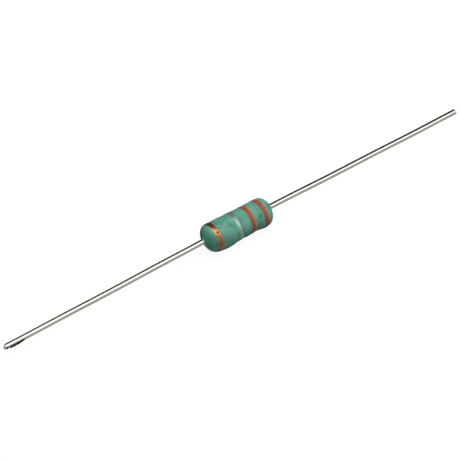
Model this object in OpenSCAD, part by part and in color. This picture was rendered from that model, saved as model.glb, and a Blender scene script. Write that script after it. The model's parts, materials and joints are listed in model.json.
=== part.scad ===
// Wirewound axial resistor, 0.33 ohm, 1 watt size, in millimetres.
// The leads lie along X with the origin at the middle of the body, on the leads' common axis.
// The tolerance band is at the left, -X, and the first digit band at the right, +X.

/* [Leads] */
// Diameter of the tinned copper wire
lead_d = 0.8; // [0.6:0.05:1]
// Length of each lead outside the coat
lead_l = 33.5; // [20:0.5:40]
// Radius of the hollow flare where a lead is welded to its cap
foot_flare = 0.3; // [0.2:0.05:0.4]
// Thickness of the weld's edge on the cap
foot_t = 0.1; // [0.05:0.01:0.15]
// Rounding of each lead's sheared tip
tip_round = 0.12; // [0.05:0.01:0.2]
// Length of the long bevel that the cutters left on the left lead's tip
nip_long = 1.2; // [0.6:0.1:2]
// Length of the short bevel on the other side of that tip
nip_short = 0.3; // [0.1:0.05:0.6]
// Distance of the nipped edge from the lead's centre
nip_offset = 0.07; // [0:0.01:0.2]
// Turn of the nipped edge about the lead, in degrees from level
nip_turn = 51; // [0:1:90]

/* [Rod and end caps] */
// Diameter of the ceramic rod
core_d = 2.8; // [2.6:0.05:3]
// Bevel at each end of the rod, and the rounding inside the cap that it clears
core_bevel = 0.15; // [0.05:0.01:0.25]
// Length of each end cap
cap_l = 2.6; // [2.2:0.1:3]
// Wall of the pressed cap
cap_wall = 0.2; // [0.15:0.01:0.25]
// Rounding outside, where the cap's wall meets its end
cap_round = 0.35; // [0.2:0.05:0.5]

/* [Winding] */
// Resistance between the caps, in ohms
resistance = 0.33; // [0.22:0.01:0.39]
// Resistivity of the copper-nickel wire, in microohm metres
resistivity = 0.25; // [0.21:0.01:0.3]
// Diameter of the resistance wire
wire_d = 0.2; // [0.18:0.01:0.22]
// Distance along the body from a cap's rim to the end of the wire
tail_l = 0.8; // [0.5:0.1:1.2]
// Distance along the body in which the wire climbs from the rod onto a cap
climb_l = 0.25; // [0.15:0.05:0.4]
// Length of each spot weld along the wire
weld_l = 0.9; // [0.6:0.1:1.5]
// Share of its thickness that the wire loses under the weld
weld_press = 0.4; // [0.2:0.05:0.5]

/* [Coat] */
// Length of the coated body
body_l = 11.4; // [11:0.1:12.5]
// Thickness of the coat over the winding
coat_t = 0.44; // [0.42:0.01:0.6]
// Thickness of the coat over each cap's end
end_cover = 0.56; // [0.5:0.01:0.7]
// Length of each rounded end
dome_l = 1.7; // [1.2:0.1:1.8]
// Fullness of the rounded ends: 2 is a plain parabola and more is squarer
dome_fullness = 3.2; // [2.5:0.1:4]
// Distance that the coat sank towards its underside while it was wet
coat_sag = 0.15; // [0.05:0.01:0.18]
// Distance that the coat crept out along each lead
creep_l = 0.2; // [0.1:0.05:0.3]
// Height of the long swelling over the left cap
left_swell = 0.15; // [0.05:0.01:0.3]
// Distance of that swelling's crest from the body's left end
left_swell_inset = 3; // [2:0.05:4]
// Spread of that swelling to either side
left_swell_w = 1.95; // [1:0.05:3]
// Height of the short swelling over the right cap
right_swell = 0.09; // [0.05:0.01:0.3]
// Distance of that swelling's crest from the body's right end
right_swell_inset = 2.15; // [2:0.05:3]
// Spread of that swelling to either side
right_swell_w = 0.65; // [0.5:0.05:1.5]

/* [Colour bands] */
// Width of the two digit bands
digit_band_w = 0.72; // [0.5:0.01:1]
// Width of the multiplier and tolerance bands
wide_band_w = 0.84; // [0.5:0.01:1]
// Thickness of the paint along the middle of a band
band_t = 0.04; // [0.02:0.01:0.08]
// Distance from the body's right end to the middle of the first digit band
first_band_inset = 1.89; // [1.6:0.01:2.4]
// Distance between the middles of the digit and multiplier bands
band_pitch = 2.21; // [1.8:0.01:2.3]
// Distance from the body's left end to the middle of the tolerance band
tolerance_band_inset = 1.51; // [1.3:0.01:2]

/* [Fits] */
// Clearance between a piece and what is pressed, wound or cast on it
fit_gap = 0.01; // [0.005:0.005:0.02]

/* [Hidden] */

$fn = 64;

// Radii, from the axis outwards
lead_r = lead_d / 2;
core_r = core_d / 2;
wire_r = wire_d / 2;
cap_bore_r = core_r + fit_gap;
cap_r = cap_bore_r + cap_wall;
winding_r = core_r + fit_gap + wire_d;
waist_r = winding_r + coat_t;

// Places along the axis, each the same distance left and right of the middle
end_x = body_l / 2;
cap_face_x = end_x - end_cover;
cap_floor_x = cap_face_x - cap_wall;
rim_x = cap_face_x - cap_l;
wire_end_x = rim_x + tail_l;
tip_x = end_x + lead_l;

// The wire's length follows from its resistance, and its turns from that length between the rims
wire_l = 1000 * resistance * PI * wire_r * wire_r / resistivity;
turn_l = 2 * PI * (winding_r - wire_r);
turns = sqrt(wire_l * wire_l - 4 * rim_x * rim_x) / turn_l;
pitch = 2 * rim_x / turns;

// A wire starts to climb here, and clears the rim once it is up
climb_start_x = rim_x - wire_r - 2 * fit_gap - climb_l;
weld_half_w = wire_r / (1 - weld_press);

// The flat sides between the wire's rings clear a round seat by this much extra radius
wire_sides = 8;
rings_per_turn = 36;
facet_rise = 1 / cos(180 / rings_per_turn);
outline_steps = 56;
band_steps = 6;
paint_edge = 0.25;

coat_green = [0.38, 0.63, 0.54];
paint_orange = [0.74, 0.34, 0.24];
paint_silver = [0.70, 0.72, 0.70];
paint_gold = [0.68, 0.44, 0.22];

// Value that goes smoothly from 0 to 1 while u goes from 0 to 1, and stays level beyond
function ease(u) = let (v = max(0, min(1, u))) v * v * (3 - 2 * v);

// Height of a smooth swelling whose crest is 1 at u = 0
function swelling(u) = exp(-u * u);

// Radius of the coat along the body, before its ends are rounded
function barrel_r(x) = waist_r
    + left_swell * swelling((x + end_x - left_swell_inset) / left_swell_w)
    + right_swell * swelling((x - end_x + right_swell_inset) / right_swell_w);

// Radius of the coat: each end runs down to the lead as a full dome
function coat_r(x) =
    let (u = min((end_x - abs(x)) / dome_l, 1))
    lead_r + (barrel_r(x) - lead_r) * (1 - pow(1 - u, dome_fullness));

// Turns what is drawn about Z so that it lies along X
module along_x() rotate([0, 90, 0]) children();

// Draws its children at the right end, or mirrored at the left end
module at_end(side) mirror([side < 0 ? 1 : 0, 0, 0]) children();

// Half outline of a bar from the axis to radius r, from low to high, with its upper edge rounded
module rounded_bar(r, low, high, rounding) {
    translate([0, low]) square([r, high - low - rounding]);
    translate([0, low]) square([r - rounding, high - low]);
    translate([r - rounding, high - rounding]) circle(rounding);
}

// Half outline of the hollow flare round a rod of radius r, standing on the line y = 0
module flare(r, radius, edge) {
    translate([r, 0]) difference() {
        square([radius, radius + edge]);
        translate([radius, radius + edge]) circle(radius);
    }
}

// Half outline of the coat, closed along its own axis, with more points where it curves most
module coat_outline() {
    polygon([
        [0, -end_x],
        for (i = [0 : outline_steps])
            let (x = -end_x * cos(180 * i / outline_steps))
            [coat_r(x), x],
        [0, end_x]
    ]);
}

// Places what belongs to the sunken coat on the coat's own axis
module on_coat_axis() translate([0, 0, -coat_sag]) along_x() children();

// Resistance wire as a swept round section, which stands in the plane of the axis. The helix
// climbs onto each cap before it reaches the rim, and the ends are pressed flat under their welds.
module winding() {
    last = ceil(rings_per_turn * 2 * wire_end_x / pitch);
    weld_x = weld_l * pitch / turn_l;
    points = [
        for (i = [0 : last], j = [0 : wire_sides - 1])
            let (
                x = wire_end_x * (2 * i / last - 1),
                climb = ease((abs(x) - climb_start_x) / climb_l),
                press = weld_press * ease((abs(x) - wire_end_x + weld_x) / weld_x),
                seat_r = (core_r + fit_gap + (cap_r - core_r) * climb) * facet_rise,
                half_h = wire_r * (1 - press),
                half_w = wire_r / (1 - press),
                a = 360 * j / wire_sides,
                r = seat_r + half_h * (1 + cos(a)),
                turn = 360 * x / pitch
            )
            [x + half_w * sin(a), r * cos(turn), r * sin(turn)]
    ];
    sides = [
        for (i = [0 : last - 1], j = [0 : wire_sides - 1])
            let (
                a = i * wire_sides + j,
                b = i * wire_sides + (j + 1) % wire_sides,
                c = a + wire_sides,
                d = b + wire_sides
            )
            each [[a, c, b], [b, c, d]]
    ];
    first_end = [for (j = [0 : wire_sides - 1]) j];
    last_end = [for (j = [wire_sides - 1 : -1 : 0]) last * wire_sides + j];
    polyhedron(points, concat(sides, [first_end, last_end]));
}

// Ceramic rod with bevelled ends
module ceramic_core() {
    l = 2 * cap_floor_x;
    color("ivory") along_x() translate([0, 0, -cap_floor_x]) rotate_extrude() polygon([
        [0, 0],
        [core_r - core_bevel, 0],
        [core_r, core_bevel],
        [core_r, l - core_bevel],
        [core_r - core_bevel, l],
        [0, l]
    ]);
}

// Resistance wire, wound on the rod and welded to both caps
module resistance_wire() {
    color("peru") winding();
}

// Half outline of a cap as a solid bar, larger by grow all round
module cap_outline(grow = 0) {
    rounded_bar(cap_r + grow, rim_x - grow, cap_face_x + grow, cap_round + grow);
}

// Pressed steel cap: a cup over the end of the rod
module end_cap(side) {
    color("silver") at_end(side) along_x() rotate_extrude() difference() {
        cap_outline();
        rounded_bar(cap_bore_r, rim_x - cap_wall, cap_floor_x, core_bevel);
    }
}

// Half outline of a lead on its weld, from the cap's face to the tip
module lead_outline() {
    rounded_bar(lead_r, cap_face_x, tip_x, tip_round);
    translate([0, cap_face_x]) flare(lead_r, foot_flare, foot_t);
}

// Everything beyond one bevel of the nipped tip: the bevel runs back from the nipped edge
// for the given length until it reaches the side of the wire, at the given distance across
module beyond_bevel(length, across) {
    block = 2 * (length + lead_d);
    rotate([0, 0, atan2(across, length)]) translate([-block, 0, -lead_d])
        cube([2 * block, block, 2 * lead_d]);
}

// Left lead, whose tip was nipped off with side cutters
module left_lead() {
    color("gainsboro") difference() {
        at_end(-1) along_x() rotate_extrude() lead_outline();
        translate([-tip_x, 0, 0]) rotate([-90 - nip_turn, 0, 0]) translate([0, nip_offset, 0]) {
            beyond_bevel(nip_long, lead_r - nip_offset);
            mirror([0, 1, 0]) beyond_bevel(nip_short, lead_r + nip_offset);
        }
    }
}

// Right lead, sheared square with a slightly rounded edge
module right_lead() {
    color("gainsboro") along_x() rotate_extrude() lead_outline();
}

// Half outline of the space in the coat from the middle to the right end, in which it closes on
// the winding, the wire's tail, the cap and the lead with its weld
module inner_outline() {
    square([winding_r + 2 * fit_gap, rim_x]);
    translate([0, climb_start_x])
        square([cap_r + wire_d + 3 * fit_gap, wire_end_x + weld_half_w + fit_gap - climb_start_x]);
    cap_outline(fit_gap);
    translate([0, cap_face_x]) {
        square([lead_r + fit_gap, end_cover + lead_l]);
        flare(lead_r + fit_gap, foot_flare, foot_t + fit_gap);
    }
}

// Cement coat: one casting over everything but the leads' free length
module coating() {
    color(coat_green) difference() {
        union() {
            on_coat_axis() rotate_extrude() coat_outline();
            for (side = [-1, 1]) at_end(side) along_x() translate([0, 0, end_x - coat_sag])
                rotate_extrude() flare(lead_r, creep_l, coat_sag);
        }
        along_x() rotate_extrude() {
            inner_outline();
            mirror([0, 1]) inner_outline();
        }
    }
}

// Ring of paint round the coat, with its middle at x
module band(x, w) {
    on_coat_axis() rotate_extrude() difference() {
        polygon([
            [lead_r, x - w / 2],
            for (i = [-band_steps : band_steps])
                let (u = i / band_steps, y = x + u * w / 2)
                [coat_r(y) + band_t * (1 - (1 - paint_edge) * pow(u, 4)), y],
            [lead_r, x + w / 2]
        ]);
        coat_outline();
    }
}

first_band_x = end_x - first_band_inset;

module first_digit_band() {
    color(paint_orange) band(first_band_x, digit_band_w);
}

module second_digit_band() {
    color(paint_orange) band(first_band_x - band_pitch, digit_band_w);
}

module multiplier_band() {
    color(paint_silver) band(first_band_x - 2 * band_pitch, wide_band_w);
}

module tolerance_band() {
    color(paint_gold) band(tolerance_band_inset - end_x, wide_band_w);
}

ceramic_core();
resistance_wire();
end_cap(-1);  // left_cap
end_cap(1);  // right_cap
left_lead();
right_lead();
coating();
first_digit_band();
second_digit_band();
multiplier_band();
tolerance_band();
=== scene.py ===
import bpy
import json
import numpy as np
from mathutils import Matrix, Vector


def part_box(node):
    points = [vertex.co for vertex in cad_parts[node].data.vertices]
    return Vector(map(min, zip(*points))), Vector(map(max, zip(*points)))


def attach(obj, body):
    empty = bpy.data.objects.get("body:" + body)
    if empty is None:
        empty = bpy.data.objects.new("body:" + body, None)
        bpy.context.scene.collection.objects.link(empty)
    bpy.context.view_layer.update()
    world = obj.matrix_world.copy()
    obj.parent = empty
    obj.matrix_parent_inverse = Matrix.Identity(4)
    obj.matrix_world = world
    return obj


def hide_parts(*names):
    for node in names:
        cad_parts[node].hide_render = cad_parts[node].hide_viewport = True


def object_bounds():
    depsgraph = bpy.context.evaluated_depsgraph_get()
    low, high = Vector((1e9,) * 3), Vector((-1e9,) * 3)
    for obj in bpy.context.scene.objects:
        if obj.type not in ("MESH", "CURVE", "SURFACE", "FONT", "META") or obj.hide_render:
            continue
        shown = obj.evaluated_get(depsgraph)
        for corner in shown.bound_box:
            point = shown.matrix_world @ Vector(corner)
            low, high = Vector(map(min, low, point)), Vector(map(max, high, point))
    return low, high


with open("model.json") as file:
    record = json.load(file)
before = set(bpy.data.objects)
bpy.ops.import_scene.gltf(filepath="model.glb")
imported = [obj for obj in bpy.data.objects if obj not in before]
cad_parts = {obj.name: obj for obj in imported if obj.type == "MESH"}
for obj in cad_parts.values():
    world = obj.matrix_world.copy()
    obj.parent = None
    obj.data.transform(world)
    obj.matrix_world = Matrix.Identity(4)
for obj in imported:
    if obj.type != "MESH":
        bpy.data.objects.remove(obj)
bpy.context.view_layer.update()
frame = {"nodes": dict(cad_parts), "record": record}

# Ceramic rod. A bar of fired alumina, ground round and bevelled at both ends, which carries the
# winding. It is hidden in the coat, so its solid stays as it is and gets a fine, dry grain.

mm = 0.001
grain_size, grain_depth, stain_size = 0.06, 0.006, 0.9
clean_alumina, stained_alumina = (0.86, 0.84, 0.78), (0.78, 0.74, 0.65)


class Signal:
    """A number that varies over a surface. Its operators add Math nodes, so a pattern is a formula."""

    def __init__(self, finish, socket):
        self.finish = finish
        self.socket = socket

    def math(self, operation, *values):
        return self.finish.node("ShaderNodeMath", {"operation": operation}, dict(enumerate(values)))

    def __add__(self, other):
        return self.math("ADD", self, other)

    def __rsub__(self, other):
        return self.math("SUBTRACT", other, self)

    def __mul__(self, other):
        return self.math("MULTIPLY", self, other)

    __radd__ = __add__
    __rmul__ = __mul__

    def __abs__(self):
        return self.math("ABSOLUTE", self)

    def step(self, low, high):
        """0 below low, 1 above high, and a smooth rise between them; a fall where low is above high."""
        ends = {"Value": self, "From Min": low, "From Max": high}
        return self.finish.node("ShaderNodeMapRange", {"interpolation_type": "SMOOTHSTEP"}, ends)

    def beside(self, output):
        """Another output of the node that this one comes from."""
        return Signal(self.finish, self.socket.node.outputs[output])


class Finish:
    """The nodes of one material. Patterns lie on Object coordinates, in millimetres."""

    def __init__(self, name, owner=None):
        self.owner = owner or bpy.data.materials.new(name)
        self.owner.use_nodes = True
        self.owner.node_tree.nodes.clear()

    def node(self, kind, settings=None, values=None, output=0):
        """Adds a node: its settings first, and then the value or the link of each socket."""
        tree = self.owner.node_tree
        made = tree.nodes.new(kind)
        for name, value in (settings or {}).items():
            setattr(made, name, value)
        for name, value in (values or {}).items():
            plug = made.inputs[name]
            if isinstance(value, Signal):
                tree.links.new(value.socket, plug)
            elif plug.type == "RGBA":
                plug.default_value = (*value, 1)
            else:
                plug.default_value = value
        return Signal(self, made.outputs[output] if made.outputs else None)

    def place(self, scale=(1, 1, 1)):
        """Object coordinates in millimetres, times a scale for each axis."""
        at = self.node("ShaderNodeTexCoord", output="Object")
        stretch = tuple(s / mm for s in scale)
        return self.node("ShaderNodeVectorMath", {"operation": "MULTIPLY"}, {0: at, 1: stretch})

    def axis(self, name):
        """One Object coordinate, X, Y or Z, in millimetres."""
        return self.node("ShaderNodeSeparateXYZ", values={"Vector": self.place()}, output=name)

    def away(self, middle):
        """Distance from a place, in millimetres."""
        ends = {0: self.place(), 1: middle}
        return self.node("ShaderNodeVectorMath", {"operation": "DISTANCE"}, ends, output="Value")

    def noise(self, size, detail=2, along=1):
        """Cloudy pattern round 0.5, with features of the given size, drawn out along X by a factor."""
        place = self.place((1 / (size * along), 1 / size, 1 / size))
        return self.node("ShaderNodeTexNoise", values={"Vector": place, "Scale": 1, "Detail": detail})

    def mix(self, share, first, second):
        """Colour that goes from the first to the second as share goes from 0 to 1."""
        colours = {0: share, 6: first, 7: second}
        return self.node("ShaderNodeMix", {"data_type": "RGBA"}, colours, output=2)

    def surface(self, values, relief=None, depth=0):
        """Ends the material in a Principled shader, with relief as a height of up to depth."""
        if relief:
            heights = {"Height": relief, "Distance": depth * mm, "Strength": 1}
            values = {**values, "Normal": self.node("ShaderNodeBump", values=heights)}
        shader = self.node("ShaderNodeBsdfPrincipled", values=values)
        self.node("ShaderNodeOutputMaterial", values={"Surface": shader})
        return self.owner


def dress(node, material):
    """Gives a solid of the frame its finish."""
    slots = frame["nodes"][node].data.materials
    slots.clear()
    slots.append(material)


alumina = Finish("fired_alumina")
grain = alumina.noise(grain_size, detail=4)
stain = alumina.noise(stain_size).step(0.45, 0.75)
dress("ceramic_core", alumina.surface(
    {
        "Base Color": alumina.mix(stain, clean_alumina, stained_alumina),
        "Roughness": 0.45 + 0.4 * grain,
    },
    relief=grain,
    depth=grain_depth,
))

# End caps. Two cups pressed from thin steel strip and tin plated, forced onto the rod's ends,
# where their walls grip like springs. The die left fine lines along their sides.

die_line_size, die_line_depth, bloom_size = 0.03, 0.002, 0.5
bright_plate, bloomed_plate = (0.66, 0.66, 0.64), (0.58, 0.57, 0.54)

plate = Finish("tin_plated_steel")
die_lines = plate.noise(die_line_size, detail=3, along=20)
bloom = plate.noise(bloom_size).step(0.4, 0.7)
cap_finish = plate.surface(
    {
        "Base Color": plate.mix(bloom, bright_plate, bloomed_plate),
        "Metallic": 1,
        "Roughness": 0.2 + 0.25 * die_lines,
    },
    relief=die_lines,
    depth=die_line_depth,
)
dress("left_cap", cap_finish)
dress("right_cap", cap_finish)

# Resistance wire. One length of drawn copper-nickel, wound in open turns on the rod. Both ends
# climb onto a cap and are spot welded there, where the heat left a brown and a blue tint.

wire_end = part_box("resistance_wire")[1].x / mm
heat_reach = 0.9
draw_line_size, draw_line_depth = 0.02, 0.002
bare_alloy, browned_alloy, blued_alloy = (0.62, 0.50, 0.40), (0.34, 0.20, 0.11), (0.16, 0.17, 0.25)

alloy = Finish("copper_nickel")
draw_lines = alloy.noise(draw_line_size)
heat = abs(alloy.axis("X")).step(wire_end - heat_reach, wire_end)
brown = alloy.mix(heat.step(0.1, 0.5), bare_alloy, browned_alloy)
dress("resistance_wire", alloy.surface(
    {
        "Base Color": alloy.mix(heat.step(0.6, 1), brown, blued_alloy),
        "Metallic": 1,
        "Roughness": 0.22 + 0.2 * draw_lines + 0.2 * heat,
    },
    relief=draw_lines,
    depth=draw_line_depth,
))

# Leads. Copper wire with a bright tin coat, butt welded to the middle of each cap, where the weld
# stands up round it as a hollow foot. Cutters nipped the left tip, and a shear cut the right one.

pin = frame["record"]["mounts"][0]["dims"]
lead_r = pin["r_mm"]
cap_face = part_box("right_cap")[1].x / mm
foot_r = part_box("right_lead")[1].y / mm
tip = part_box("right_lead")[1].x / mm
coat_end = tip - pin["length_mm"]
foot_edge = 0.1
tip_round = 0.12
lead_facets, wire_rings, tip_crowding = 96, 200, 1.4

# Both leads bow to one side, turned from straight down towards the front, and the cutters closed
# along that line. The leads also waver a little, in radians for each millimetre of their length.
bow_turn = np.radians(51)
down = np.array((0, -np.sin(bow_turn), -np.cos(bow_turn)))
across = np.array((0, np.cos(bow_turn), -np.sin(bow_turn)))
bow, waver_size, waver_start = 0.21, 0.015, 0.1
waver_down, waver_across = 0.41, 0.29

# The two cuts of the nipped tip, its torn end and the jaws' marks, as distances from the tip. The
# scrapes start and are full at these shares of the radius under the middle.
nip_long, nip_short, nip_offset, tip_burr = 0.7, 0.3, 0.07, 0.02
torn_full, torn_end = 0.4, 0.6
jaw_start, jaw_full, jaw_fading, jaw_end = 0.6, 1.0, 2.0, 3.5
jaw_bulge, tooth_pitch, tooth_depth, tooth_slant = 0.15, 0.65, 0.15, 1.5
jaw_scrape, scrape_start, scrape_full = 3, 0.2, 0.45

# The nick near the sheared tip, in the same measures
nick_at, nick_half, nick_scrape, nick_start, nick_full = 1.1, 0.25, 0.6, 0.5, 0.8

sharp_angle = np.radians(40)

pull_line_size, pull_line_depth, dullness_size, scratch_size = 0.025, 0.003, 0.7, 0.3
bright_tin, dull_tin, scraped_tin = (0.43, 0.418, 0.378), (0.39, 0.38, 0.347), (0.035, 0.027, 0.018)


def turns(count):
    """Angles of one turn in equal steps."""
    return np.arange(count) * 2 * np.pi / count


def quarter(count):
    """Angles of a quarter turn in equal steps, with both ends."""
    return np.linspace(0, np.pi / 2, count)


def smooth(value, low, high):
    """0 below low, 1 above high, and a cubic that is level at both ends between them."""
    t = np.clip((value - low) / (high - low), 0, 1)
    return t * t * (3 - 2 * t)


def swelling(x, middle, spread):
    """Bell curve of height 1."""
    return np.exp(-((x - middle) / spread) ** 2)


def make_piece(name, rings, material, solid, joined=False, marks=None):
    """Mesh from rings of points, rings x points x 3 in millimetres, with its faces outwards. Each ring
    is joined to the next. Each end closes in a point at its middle, or the last ring meets the first.
    Marks are numbers for each point of the rings, which the material reads by name."""
    count, size = rings.shape[:2]
    index = np.arange(count * size).reshape(count, size)
    beside = np.roll(index, -1, axis=1)
    quads = np.stack([index, beside, np.roll(beside, -1, axis=0), np.roll(index, -1, axis=0)], axis=-1)
    faces = quads[:count if joined else count - 1].reshape(-1, 4)
    points = rings.reshape(-1, 3)
    corners = points[faces[:, :3]]
    inside_out = np.sum(corners[:, 0] * np.cross(corners[:, 1], corners[:, 2])) < 0
    faces = faces.tolist()
    if not joined:
        points = np.concatenate([points, rings[0].mean(0)[None], rings[-1].mean(0)[None]])
        first, last = count * size, count * size + 1
        faces += np.stack([beside[0], index[0], np.full(size, first)], axis=-1).tolist()
        faces += np.stack([index[-1], beside[-1], np.full(size, last)], axis=-1).tolist()
    mesh = bpy.data.meshes.new(name)
    mesh.from_pydata(points * mm, [], faces)
    for mark, values in (marks or {}).items():
        layer = mesh.attributes.new(mark, "FLOAT", "POINT")
        padded = np.concatenate([values.ravel(), np.zeros(len(points) - values.size)])
        layer.data.foreach_set("value", padded.astype(np.float32))
    if inside_out:
        mesh.flip_normals()
    mesh.shade_smooth()
    mesh.set_sharp_from_angle(angle=sharp_angle)
    mesh.materials.append(material)
    piece = bpy.data.objects.new(name, mesh)
    bpy.context.scene.collection.objects.link(piece)
    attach(piece, "root")
    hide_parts(solid)


def lead_profile(nipped):
    """Distance from the cap's face and radius of each ring: the foot's flat edge, a quarter circle
    that is hollow towards the wire, the straight wire, and the rounded or the nipped tip."""
    flare = foot_r - lead_r
    arc = quarter(9)
    foot = np.stack([foot_edge + flare * (1 - np.cos(arc)), foot_r - flare * np.sin(arc)])
    reach = tip - cap_face
    crowded = np.linspace(1, 0, wire_rings)[1:] ** tip_crowding
    stations = reach - (reach - foot[0, -1]) * crowded
    wire = np.stack([stations, np.full(len(stations), lead_r)])
    edge = [[0], [foot_r]]
    if nipped:
        wire[0] -= tip_burr * smooth(wire[0], 0, reach)
        return np.concatenate([edge, foot, wire], axis=1)
    wire = wire[:, wire[0] < reach - tip_round]
    arc = quarter(7)
    rounding = np.stack([
        reach - tip_round * (1 - np.sin(arc)),
        lead_r - tip_round * (1 - np.cos(arc)),
    ])
    return np.concatenate([edge, foot, wire, rounding], axis=1)


def nip(left, angle, sink, drift):
    """Pinches and cuts a tip, given the distance left to its end. The jaws pushed the lower side out
    in slanting teeth. The upper side is cut flat, with its points spread evenly over each chord, and
    the lower one is torn off along a square root. The teeth and the torn end come back as worn."""
    lower = np.clip(sink / lead_r, 0, 1)
    jaws = smooth(left, jaw_start, jaw_full) * (1 - smooth(left, jaw_fading, jaw_end))
    wave = np.sin(2 * np.pi * left / tooth_pitch + tooth_slant * drift / lead_r)
    teeth = 1 - tooth_depth + tooth_depth * wave
    torn = 1 - smooth(left, torn_full, torn_end)
    worn = np.maximum(np.minimum(jaw_scrape * jaws, 1), torn) * smooth(lower, scrape_start, scrape_full)
    sink = sink + jaw_bulge * jaws * teeth * lower
    long_cut = nip_offset + (lead_r + jaw_bulge - nip_offset) * np.sqrt(left / nip_long)
    short_cut = nip_offset - (lead_r + nip_offset) * left / nip_short
    sink = np.clip(sink, short_cut, long_cut)
    edge = np.arccos(np.clip(short_cut / lead_r, -1, 1))
    flat = np.abs(angle - np.pi) < np.pi - edge
    spread = (np.pi - angle) / np.where(edge < np.pi, np.pi - edge, 1)
    drift = np.where(flat, lead_r * np.sin(edge) * spread, drift)
    return sink, drift, worn


def lead_rings(side, nipped):
    """Rings of a lead and its worn places. The wire bows as a quarter sine, with a slight waver."""
    distance, radius = lead_profile(nipped)[:, :, None]
    angle = turns(lead_facets)
    sink = radius * np.cos(angle)
    drift = radius * np.sin(angle)
    x = cap_face + distance + 0 * angle
    left = tip - x
    nick = swelling(left, nick_at, nick_half) * smooth(sink / lead_r, nick_start, nick_full)
    worn = nick_scrape * nick
    if nipped:
        sink, drift, worn = nip(left, angle, sink, drift)
    free = np.clip((x - coat_end) / (tip - coat_end), 0, 1)
    waver = waver_size * smooth(free, 0, waver_start)
    sink = sink + bow * np.sin(free * np.pi / 2) + waver * np.sin(waver_down * x + side)
    drift = drift + waver * np.sin(waver_across * x + 2 * side)
    rings = sink[..., None] * down + drift[..., None] * across
    rings[..., 0] = side * x
    return rings, worn


tin = Finish("bright_tin")
pull_lines = tin.noise(pull_line_size, detail=3, along=60)
dullness = tin.noise(dullness_size, detail=3, along=3)
worn = tin.node("ShaderNodeAttribute", {"attribute_name": "worn"}, output="Fac")
scrape = worn * tin.noise(scratch_size, detail=3, along=1.5).step(0.1, 0.3)
clean_tin = tin.mix(dullness.step(0.3, 0.7), bright_tin, dull_tin)
tin_finish = tin.surface(
    {
        "Base Color": tin.mix(scrape, clean_tin, scraped_tin),
        "Metallic": 1,
        "Roughness": 0.08 + 0.12 * pull_lines + 0.06 * dullness + 0.4 * scrape,
    },
    relief=pull_lines + 0.6 * dullness,
    depth=pull_line_depth,
)
for name, side, nipped in (("left", -1, True), ("right", 1, False)):
    rings, worn_places = lead_rings(side, nipped)
    make_piece(
        f"tinned_{name}_lead", rings, tin_finish, f"{name}_lead",
        marks={"worn": worn_places},
    )

# Cement coat. The wound rod was dipped and turned while the green coat dried, which swelled it over
# the caps, sank it a little to one side and drew it out along the leads in a thin collar.

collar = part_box("coating")[1].x / mm - coat_end
cap_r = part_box("right_cap")[1].y / mm
cap_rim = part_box("right_cap")[0].x / mm
cap_round = 0.35
wire_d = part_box("resistance_wire")[1].z / mm - cap_r
winding_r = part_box("ceramic_core")[1].y / mm + wire_d
climb_start, turn_pitch = 2.17, 1.17
fit_gap, winding_gap, tail_gap, collar_grip = 0.01, 0.02, 0.03, 0.005
coat_facets, coat_rows, end_crowding = 224, 280, 0.65

coat_waist, dome_fullness, collar_softness = 1.896, 3.2, 0.09
left_dome_l, right_dome_l, left_short = 1.42, 1.52, 0.05
sink_everywhere, sink_turn = -0.03, np.radians(20)
# Each swelling's middle along X, its spread, its height and how far the coat sank there
swellings = (
    (-4.6, 0.9, 0.035, 0.02),
    (-2.52, 2.16, 0.354, 0.251),
    (0.79, 1.17, 0.127, 0.133),
    (3.98, 2.34, 0.216, 0.218),
)
# The height of the helix over the turns, and how far past the caps' rims it fades in
ripple, ripple_fade = 0.010, 0.4
# Each lump's height, its waves along X in radians per millimetre and round the body, and its phase
lumps = ((0.010, 1.7, 2, 0.4), (0.008, 2.6, -1, 2.1), (0.006, 0.9, 3, 4.0))

cloud_size, streak_size, wisp_size = 1.4, 2.4, 0.45
streak_share, wisp_share, wisps_at_ends = 0.6, 0.33, 0.3
streaks_full, streaks_end = 4.3, 5.3
deep_green, pale_green = (0.070, 0.320, 0.203), (0.163, 0.505, 0.355)
blue_grey, dark_green = (0.21, 0.43, 0.40), (0.055, 0.25, 0.17)
# Each patch's middle, its reach, how strongly it shows and its colour. The first is a painted highlight
# where the left lead leaves the coat, the next three are lighter patches of painted light on the top of the
# body, and the last is a dark blotch in the coat.
blotch_and_painted_light_patches = (
    ((-5.6, -0.1, 0.76), 0.65, 1.0, (0.06, 0.52, 0.33)),
    ((-5.1, -0.3, 1.5), 1.2, 0.8, (0.18, 0.55, 0.42)),
    ((0.6, 0.0, 2.0), 1.2, 0.7, (0.14, 0.52, 0.35)),
    ((2.4, -0.3, 2.05), 1.1, 0.7, (0.21, 0.52, 0.41)),
    ((2.6, -2.1, 0.2), 0.8, 0.4, (0.06, 0.27, 0.22)),
)
peel_size, grit_size, peel_depth = 0.35, 0.05, 0.012


def coat_surface(x, angle, lift=0.0):
    """Points of the coat's outside at places x and angles about the axis. The radius is the waist plus
    a bell curve for each swelling. Each end runs down as 1 - (1 - u)^n, softened into a collar on the
    lead. The middle sinks under each swelling, and the turns of wire show as a faint helix."""
    barrel = coat_waist + sum(high * swelling(x, at, spread) for at, spread, high, _ in swellings)
    sink = sink_everywhere + sum(deep * swelling(x, at, spread) for at, spread, _, deep in swellings)
    u = np.where(x < 0, (coat_end - left_short + x) / left_dome_l, (coat_end - x) / right_dome_l)
    rise = np.where(u > 0, 1 - np.abs(1 - np.clip(u, 0, 1)) ** dome_fullness, dome_fullness * u)
    full = barrel - lead_r
    height = collar_softness * np.logaddexp(0, full * rise / collar_softness)
    share = np.clip(height / full, 0, 1)
    over_winding = smooth(cap_rim - np.abs(x), -ripple_fade, ripple_fade)
    helix = over_winding * np.cos(2 * np.pi * x / turn_pitch - angle)
    uneven = sum(high * np.sin(along * x + around * angle + phase) for high, along, around, phase in lumps)
    radius = lead_r + height + share * (ripple * helix + uneven) + lift
    y = radius * np.cos(angle) - share * sink * np.sin(sink_turn)
    z = radius * np.sin(angle) - share * sink * np.cos(sink_turn)
    return np.stack([x + 0 * angle, y, z], axis=-1)


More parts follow.
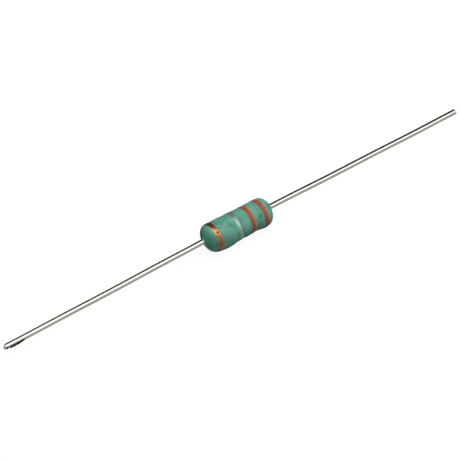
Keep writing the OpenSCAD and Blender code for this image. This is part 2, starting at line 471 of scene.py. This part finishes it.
def coat_inside():
    """Place and radius of the coat's inner outline, from the right collar to the left one: it closes
    on the lead, the weld's foot, the cap, the wire's tail on the cap and the winding."""
    arc = quarter(6)
    flare = foot_r - lead_r
    foot = np.stack([
        cap_face + foot_edge + flare * (1 - np.sin(arc)),
        lead_r + fit_gap + flare * (1 - np.cos(arc)),
    ])
    shoulder = np.stack([
        cap_face + fit_gap - cap_round * (1 - np.cos(arc)),
        cap_r + fit_gap - cap_round * (1 - np.sin(arc)),
    ])
    tail_r = cap_r + wire_d + tail_gap
    tail_end = wire_end + fit_gap
    tail = np.array([
        [tail_end, tail_end, climb_start, climb_start],
        [cap_r + fit_gap, tail_r, tail_r, winding_r + winding_gap],
    ])
    mouth = [[coat_end + collar], [lead_r - collar_grip]]
    face = [[cap_face + fit_gap], [foot_r + fit_gap]]
    half = np.concatenate([mouth, foot, face, shoulder, tail], axis=1)
    return np.concatenate([half, half[:, ::-1] * [[-1], [1]]], axis=1)


def coat_rings():
    """Rings along the outside, closer together towards the ends, and back along the inside."""
    s = np.linspace(-1, 1, coat_rows)
    x = (coat_end + collar) * ((1 - end_crowding) * s + end_crowding * np.sin(s * np.pi / 2))
    angle = turns(coat_facets)
    inner_x, inner_r = coat_inside()[:, :, None]
    inside = np.stack([
        inner_x + 0 * angle,
        inner_r * np.cos(angle),
        inner_r * np.sin(angle),
    ], axis=-1)
    return np.concatenate([coat_surface(x[:, None], angle), inside])


def green_colour(finish):
    """Colour of the coat: pigment that settled in clouds and, as the coat turned, in blue-grey
    streaks and dark wisps round the body, one dark blotch, and lighter patches that are painted
    light: a painted highlight by the left lead's exit and on the top of the body."""
    clouds = finish.noise(cloud_size, detail=4).step(0.38, 0.62)
    off_the_ends = abs(finish.axis("X")).step(streaks_end, streaks_full)
    streaks = off_the_ends * finish.noise(streak_size, detail=4, along=0.22).step(0.42, 0.62)
    fading = wisps_at_ends + (1 - wisps_at_ends) * off_the_ends
    wisps = fading * finish.noise(wisp_size, detail=3, along=0.35).step(0.5, 0.75)
    ground = finish.mix(clouds, deep_green, pale_green)
    ground = finish.mix(streak_share * streaks, ground, blue_grey)
    ground = finish.mix(wisp_share * wisps, ground, dark_green)
    # The lighter patches are painted light on the top of the body and by the left lead; the dark one is a
    # blotch in the coat.
    for middle, reach, share, colour in blotch_and_painted_light_patches:
        patch = finish.away(middle).step(reach, 0.3 * reach)
        ground = finish.mix(share * patch, ground, colour)
    return ground


cement = Finish("green_cement")
peel = cement.noise(peel_size)
grit = cement.noise(grit_size, detail=3)
coat_finish = cement.surface(
    {
        "Base Color": green_colour(cement),
        "Roughness": 0.38 + 0.16 * peel + 0.08 * grit,
        "Specular IOR Level": 0.32,
    },
    relief=peel + 0.2 * grit,
    depth=peel_depth,
)
make_piece("green_coat", coat_rings(), coat_finish, "coating", joined=True)

# Colour bands. Rings of paint rolled onto the turning coat: gold for the tolerance, thin silver
# for the multiplier and orange for both digits. Each thins out to a slightly uneven edge.

paint_t, paint_under, edge_thinning, edge_waver = 0.035, 0.01, 0.85, 0.018
broad_waves, fine_waves, fine_share = 3, 7, 0.6
band_facets, band_rows, under_stride = 256, 25, 6

# The pit in the gold paint: its place along X, round the body and out from the axis, and its radius
pit_x, pit_angle, pit_out, pit_r = -4.05, np.radians(123), 2.05, 0.12
pit_depth = 0.85 * paint_t

smear_size, smear_depth, flake_size, flake_depth = 0.3, 0.008, 0.05, 0.004
bright_orange, dull_orange = (0.49, 0.118, 0.046), (0.40, 0.088, 0.036)
silver_grey = (0.31, 0.325, 0.312)
brush_mark_size, tarnish_size = 0.22, 0.35
clean_gold, tarnished_gold = (0.28, 0.122, 0.045), (0.21, 0.084, 0.028)
# Painted highlight: the gold turns lighter between these two heights in Z, in millimetres, towards the top
# of the band.
painted_highlight_gold, painted_highlight_low, painted_highlight_high = (0.41, 0.185, 0.069), 1.6, 1.95
pit_black = (0.03, 0.02, 0.01)


def band_rings(solid, seed, pitted=False):
    """Rings across a band, from one edge to the other and back under it, and each point's place across
    it from -1 to 1. The paint's thickness falls with the fourth power from the middle to a thin edge,
    each edge wavers round the body, and a pit is a hole with a fourth-power rim."""
    low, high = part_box(solid)
    middle, half = (low.x + high.x) / 2 / mm, (high.x - low.x) / 2 / mm
    angle = turns(band_facets)
    v = np.sin(np.linspace(-1, 1, band_rows) * np.pi / 2)[:, None]
    fine = fine_share * np.sin(fine_waves * angle + 2 * seed) * v
    x = middle + half * v + edge_waver * (np.sin(broad_waves * angle + seed) + fine)
    lift = paint_t * (1 - edge_thinning * v ** 4)
    if pitted:
        away = np.hypot(x - pit_x, coat_waist * (angle - pit_angle))
        lift = lift - pit_depth * np.exp(-((away / pit_r) ** 4))
    over = coat_surface(x, angle, lift)
    under = coat_surface(x[::-under_stride], angle, -paint_under)
    across_band = np.concatenate([v + 0 * angle, v[::-under_stride] + 0 * angle])
    return np.concatenate([over, under]), {"across_band": across_band}


def edge_share(finish, low, high):
    """1 along the middle of a band, and 0 at its edges."""
    v = finish.node("ShaderNodeAttribute", {"attribute_name": "across_band"}, output="Fac")
    return abs(v).step(high, low)


orange = Finish("orange_paint")
smear = orange.noise(smear_size, detail=3)
orange_colour = orange.mix(smear.step(0.3, 0.7), bright_orange, dull_orange)
cover = edge_share(orange, 0.8, 1.1)
orange_finish = orange.surface(
    {
        "Base Color": orange.mix(cover, green_colour(orange), orange_colour),
        "Roughness": 0.40 + 0.15 * smear,
        "Specular IOR Level": 0.3,
    },
    relief=smear,
    depth=smear_depth,
)
for name, solid, seed in (
    ("orange_band_first", "first_digit_band", 0.3),
    ("orange_band_second", "second_digit_band", 2.0),
):
    rings, marks = band_rings(solid, seed)
    make_piece(name, rings, orange_finish, solid, joined=True, marks=marks)

silver = Finish("silver_paint")
flake = silver.noise(flake_size)
brush_marks = silver.noise(brush_mark_size, detail=3, along=0.3)
cover = edge_share(silver, 0.1, 1.0) * (0.6 + 0.4 * brush_marks.step(0.3, 0.6))
silver_finish = silver.surface(
    {
        "Base Color": silver.mix(cover, green_colour(silver), silver_grey),
        "Metallic": 0.95 * cover,
        "Roughness": 0.42 + 0.12 * flake,
    },
    relief=flake + 0.5 * brush_marks,
    depth=flake_depth,
)
rings, marks = band_rings("multiplier_band", seed=4.1)
make_piece("silver_band", rings, silver_finish, "multiplier_band", joined=True, marks=marks)

gold = Finish("gold_paint")
flake = gold.noise(flake_size)
tarnish = gold.noise(tarnish_size, detail=3)
pit_middle = (pit_x, pit_out * np.cos(pit_angle), pit_out * np.sin(pit_angle))
pit_dark = gold.away(pit_middle).step(0.19, 0.11)
gold_colour = gold.mix(tarnish.step(0.3, 0.7), clean_gold, tarnished_gold)
# Painted highlight: the gold is lighter towards the top of the band.
gold_colour = gold.mix(gold.axis("Z").step(painted_highlight_low, painted_highlight_high), gold_colour, painted_highlight_gold)
cover = edge_share(gold, 0.8, 1.05)
gold_colour = gold.mix(cover, green_colour(gold), gold_colour)
gold_finish = gold.surface(
    {
        "Base Color": gold.mix(pit_dark, gold_colour, pit_black),
        "Metallic": 0.95 * cover * (1 - pit_dark),
        "Roughness": 0.27 + 0.12 * flake + 0.5 * pit_dark,
    },
    relief=flake + 0.5 * tarnish,
    depth=flake_depth,
)
rings, marks = band_rings("tolerance_band", seed=5.3, pitted=True)
make_piece("gold_band", rings, gold_finish, "tolerance_band", joined=True, marks=marks)

# Studio. The resistor lies on a white table in a white room, under a broad soft lamp and a weak one
# behind it. Black cards draw the dark lines along the leads and under the body. The camera and
# what metal and glass reflect see the table and the room as white.

lens, sensor, distance = 280, 36, 0.5
azimuth, elevation = np.radians((-36.5, 45))
aim_left, aim_down = 0.879, 0.803

table_half, table_z = 1.5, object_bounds()[0].z
table_grey, table_glow, mirrored_glow = 0.13, 0.92, 0.59
room_level, mirrored_level = 0.12, 1.15

card_z = table_z + 0.0001
card_black = (0.01, 0.01, 0.01)
lying_left, lying_right, lying_near, lying_far = -0.0388, 0.065, 0.0019, 0.03
under_left, under_right, under_near = -0.0045, 0.006, -0.0023
standing_left, standing_right, standing_foot = -0.05, 0.45, 0.50
# The standing card leans over the object, further at its right end: each top corner's Y and Z
left_top, right_top = (0.34, 0.17), (-0.21, 0.77)

back = np.array((
    np.sin(azimuth) * np.cos(elevation),
    -np.cos(azimuth) * np.cos(elevation),
    np.sin(elevation),
))
right = np.array((np.cos(azimuth), np.sin(azimuth), 0))
up = np.cross(back, right)
aim = -(aim_left * right + aim_down * up) * mm

camera_data = bpy.data.cameras.new("camera")
camera_data.lens = lens
camera_data.sensor_width = sensor
camera_data.clip_start = 0.01
camera_data.clip_end = 10
camera = bpy.data.objects.new("camera", camera_data)
columns = np.column_stack([right, up, back, aim + back * distance])
camera.matrix_world = Matrix([*columns.tolist(), (0, 0, 0, 1)])
bpy.context.scene.collection.objects.link(camera)
bpy.context.scene.camera = camera
bpy.context.scene.view_settings.view_transform = "Standard"


def level_corners(left, right, near, far, z):
    """Corners of a level rectangle, against the clock from above."""
    return [(left, near, z), (right, near, z), (right, far, z), (left, far, z)]


def sheet(name, corners, material):
    """Flat four-cornered piece of the studio."""
    mesh = bpy.data.meshes.new(name)
    mesh.from_pydata(corners, [], [(0, 1, 2, 3)])
    mesh.materials.append(material)
    piece = bpy.data.objects.new(name, mesh)
    bpy.context.scene.collection.objects.link(piece)
    return piece


def ray_kinds(finish):
    """Two signals: 1 for rays straight from the camera, and 1 for rays by way of metal or glass."""
    camera_ray = finish.node("ShaderNodeLightPath", output="Is Camera Ray")
    by_gloss = camera_ray.beside("Is Glossy Ray")
    by_glass = camera_ray.beside("Is Transmission Ray")
    return camera_ray, by_gloss.math("MAXIMUM", by_gloss, by_glass)


table = Finish("white_table")
camera_ray, mirrored = ray_kinds(table)
glow = table.mix(mirrored, (0, 0, 0), (mirrored_glow,) * 3)
table_top = table.surface({
    "Base Color": (table_grey,) * 3,
    "Roughness": 1,
    "Specular IOR Level": 0,
    "Emission Color": table.mix(camera_ray, glow, (1, 1, 1)),
    "Emission Strength": table_glow,
})
sheet("table", level_corners(-table_half, table_half, -table_half, table_half, table_z), table_top)

black = Finish("dark_card").surface({"Base Color": card_black, "Roughness": 1})
for name, corners in (
    ("standing_card", [
        (standing_left, standing_foot, table_z),
        (standing_right, standing_foot, table_z),
        (standing_right, *right_top),
        (standing_left, *left_top),
    ]),
    ("under_card", level_corners(under_left, under_right, under_near, lying_near, card_z)),
    ("lying_card", level_corners(lying_left, lying_right, lying_near, lying_far, card_z)),
):
    card = sheet(name, corners, black)
    card.visible_camera = False
    card.visible_diffuse = False
    card.visible_shadow = False

world = bpy.data.worlds.new("room")
room = Finish("room", world)
camera_ray, mirrored = ray_kinds(room)
strength = room_level + camera_ray * (1 - room_level) + mirrored * (mirrored_level - room_level)
light = room.node("ShaderNodeBackground", values={"Color": (1, 1, 1), "Strength": strength})
room.node("ShaderNodeOutputWorld", values={"Surface": light})
bpy.context.scene.world = world


def soft_lamp(name, width, depth, level, location, tilt):
    """Rectangular lamp, tilted about X in degrees. Its surface at level 1 is as bright as white."""
    lamp_data = bpy.data.lights.new(name, "AREA")
    lamp_data.shape = "RECTANGLE"
    lamp_data.size = width
    lamp_data.size_y = depth
    lamp_data.energy = level * np.pi * width * depth
    lamp = bpy.data.objects.new(name, lamp_data)
    lamp.location = location
    lamp.rotation_euler = (np.radians(tilt), 0, 0)
    lamp.visible_camera = False
    bpy.context.scene.collection.objects.link(lamp)
    return lamp


soft_lamp("overhead_lamp", width=0.80, depth=0.58, level=1.75, location=(0.23, -0.16, 0.47), tilt=19)
back_lamp = soft_lamp("back_lamp", width=0.50, depth=0.30, level=1.2, location=(0.10, 0.35, 0.40), tilt=-41)
back_lamp.visible_glossy = False
